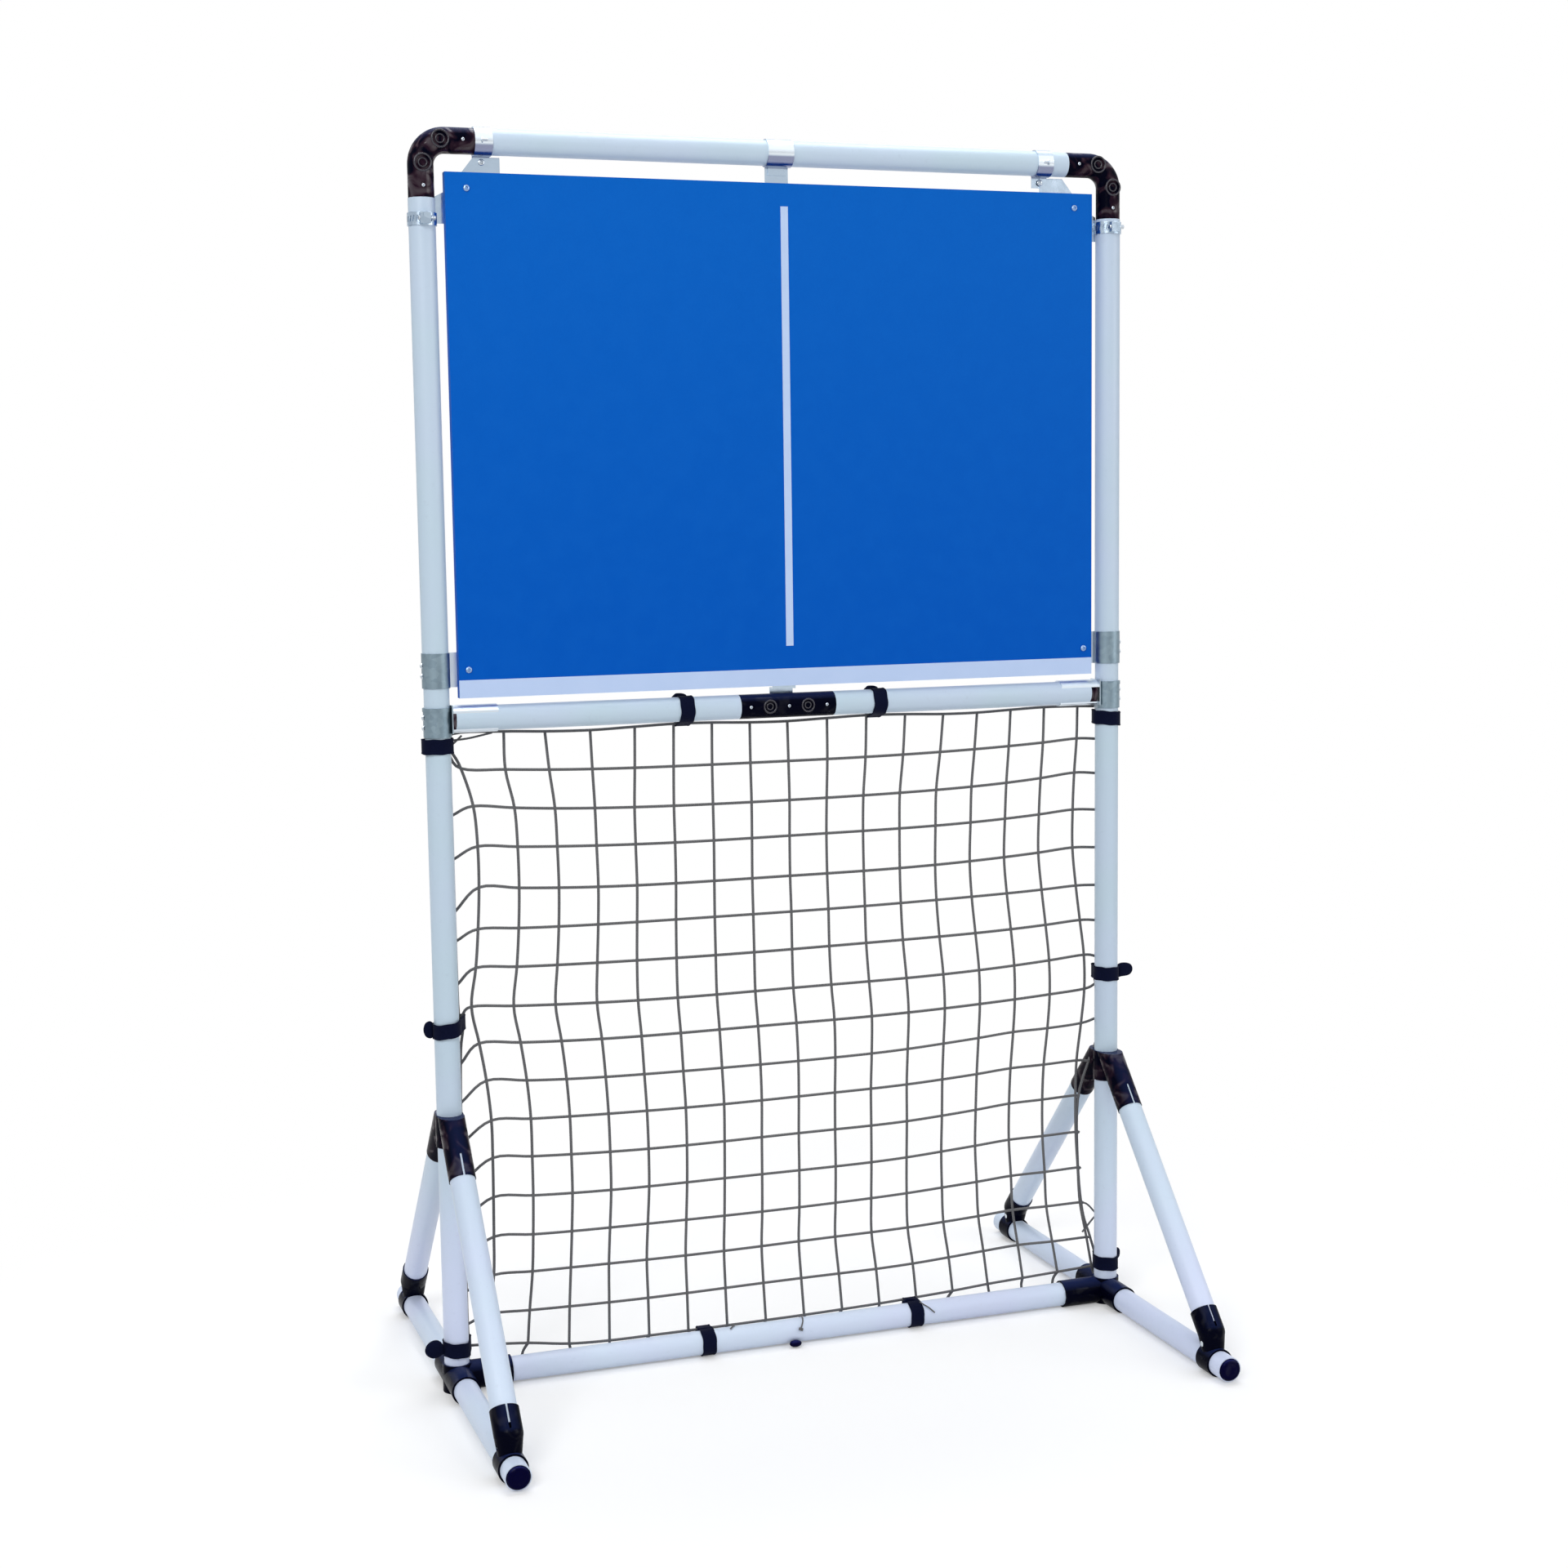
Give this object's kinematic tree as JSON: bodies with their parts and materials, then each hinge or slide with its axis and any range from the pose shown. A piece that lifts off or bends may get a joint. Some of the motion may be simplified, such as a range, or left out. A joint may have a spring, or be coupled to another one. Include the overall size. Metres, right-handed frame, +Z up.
{
  "type": "pitch back rebounder",
  "caption": "Free-standing white tube frame with a blue rebound board above and a tied mesh net below, on braced feet.",
  "frame": {"origin": "On the floor, midway between the two uprights and under the top bar.", "axes": "+Z up, -Y toward the player who faces the board, +X to that player's right."},
  "size_m": [1.0032, 0.7, 1.5896],
  "materials": {
    "white_tube": "white powder coat, satin",
    "black_moulding": "black moulded plastic, glossy",
    "galvanised_sheet": "galvanised steel sheet, satin",
    "zinc_screw": "bright zinc plate",
    "board_blue": "blue board with a fine grain, matte",
    "court_tape": "pale court tape, matte",
    "net_cord": "dark grey braided net cord",
    "tie_black": "black hook-and-loop strap"
  },
  "bodies": {
    "frame": {"base_connector_left": "black_moulding", "base_connector_right": "black_moulding", "board": "board_blue", "board_bolts": "zinc_screw", "board_tape": "court_tape", "bottom_bar": "white_tube", "brace_hub_left": "black_moulding", "brace_hub_right": "black_moulding", "brace_tube_front_left": "white_tube", "brace_tube_front_right": "white_tube", "brace_tube_rear_left": "white_tube", "brace_tube_rear_right": "white_tube", "clamp_screws": "zinc_screw", "connector_screws": "zinc_screw", "corner_plate_left": "galvanised_sheet", "corner_plate_right": "galvanised_sheet", "crossbar_centre_strap": "galvanised_sheet", "crossbar_coupler_front_shell": "black_moulding", "crossbar_coupler_rear_shell": "black_moulding", "crossbar_end_plugs": "black_moulding", "crossbar_left": "white_tube", "crossbar_right": "white_tube", "elbow_left_front_shell": "black_moulding", "elbow_left_rear_shell": "black_moulding", "elbow_right_front_shell": "black_moulding", "elbow_right_rear_shell": "black_moulding", "foot_connector_front_left": "black_moulding", "foot_connector_front_right": "black_moulding", "foot_connector_rear_left": "black_moulding", "foot_connector_rear_right": "black_moulding", "foot_end_caps": "black_moulding", "foot_tube_front_left": "white_tube", "foot_tube_front_right": "white_tube", "foot_tube_rear_left": "white_tube", "foot_tube_rear_right": "white_tube", "hex_nuts": "zinc_screw", "lower_board_clamp_left": "galvanised_sheet", "lower_board_clamp_right": "galvanised_sheet", "lower_upright_left": "white_tube", "lower_upright_right": "white_tube", "net": "net_cord", "net_tie_bands": "tie_black", "side_clamp_left": "galvanised_sheet", "side_clamp_right": "galvanised_sheet", "tee_clamp_left": "galvanised_sheet", "tee_clamp_right": "galvanised_sheet", "top_bar": "white_tube", "top_bar_strap_centre": "galvanised_sheet", "top_bar_strap_left": "galvanised_sheet", "top_bar_strap_right": "galvanised_sheet", "upper_upright_left": "white_tube", "upper_upright_right": "white_tube"},
    "tab_left_middle": {"tie_tab_left_middle": "tie_black"},
    "tab_right_middle": {"tie_tab_right_middle": "tie_black"},
    "tab_left_low": {"tie_tab_left_low": "tie_black"},
    "tab_right_low": {"tie_tab_right_low": "tie_black"},
    "tab_crossbar_left": {"tie_tab_crossbar_left": "tie_black"},
    "tab_crossbar_right": {"tie_tab_crossbar_right": "tie_black"},
    "tab_bottom_left": {"tie_tab_bottom_left": "tie_black"},
    "tab_bottom_right": {"tie_tab_bottom_right": "tie_black"}
  },
  "joints": [
    {"name": "tie_tab_left_middle_bend", "type": "hinge", "parent": "frame", "child": "tab_left_middle", "pos_m": [-0.4846, 0, 0.471], "axis": [0, 0, 1], "range_deg": [-75, 75]},
    {"name": "tie_tab_right_middle_bend", "type": "hinge", "parent": "frame", "child": "tab_right_middle", "pos_m": [0.4846, 0, 0.471], "axis": [0, 0, 1], "range_deg": [-75, 75]},
    {"name": "tie_tab_left_low_bend", "type": "hinge", "parent": "frame", "child": "tab_left_low", "pos_m": [-0.48342, -0.0067, 0.0565], "axis": [0, 0, 1], "range_deg": [-75, 75]},
    {"name": "tie_tab_right_low_bend", "type": "hinge", "parent": "frame", "child": "tab_right_low", "pos_m": [0.48106, 0.01124, 0.0565], "axis": [0, 0, 1], "range_deg": [-75, 75]},
    {"name": "tie_tab_crossbar_left_bend", "type": "hinge", "parent": "frame", "child": "tab_crossbar_left", "pos_m": [-0.142, 0.01386, 0.87986], "axis": [1, 0, 0], "range_deg": [-80, 60]},
    {"name": "tie_tab_crossbar_right_bend", "type": "hinge", "parent": "frame", "child": "tab_crossbar_right", "pos_m": [0.125, 0.01386, 0.87986], "axis": [1, 0, 0], "range_deg": [-80, 60]},
    {"name": "tie_tab_bottom_left_bend", "type": "hinge", "parent": "frame", "child": "tab_bottom_left", "pos_m": [-0.128, 0.00615, 0.0399], "axis": [1, 0, 0], "range_deg": [-5, 75]},
    {"name": "tie_tab_bottom_right_bend", "type": "hinge", "parent": "frame", "child": "tab_bottom_right", "pos_m": [0.171, 0.00615, 0.0399], "axis": [1, 0, 0], "range_deg": [-5, 75]}
  ]
}
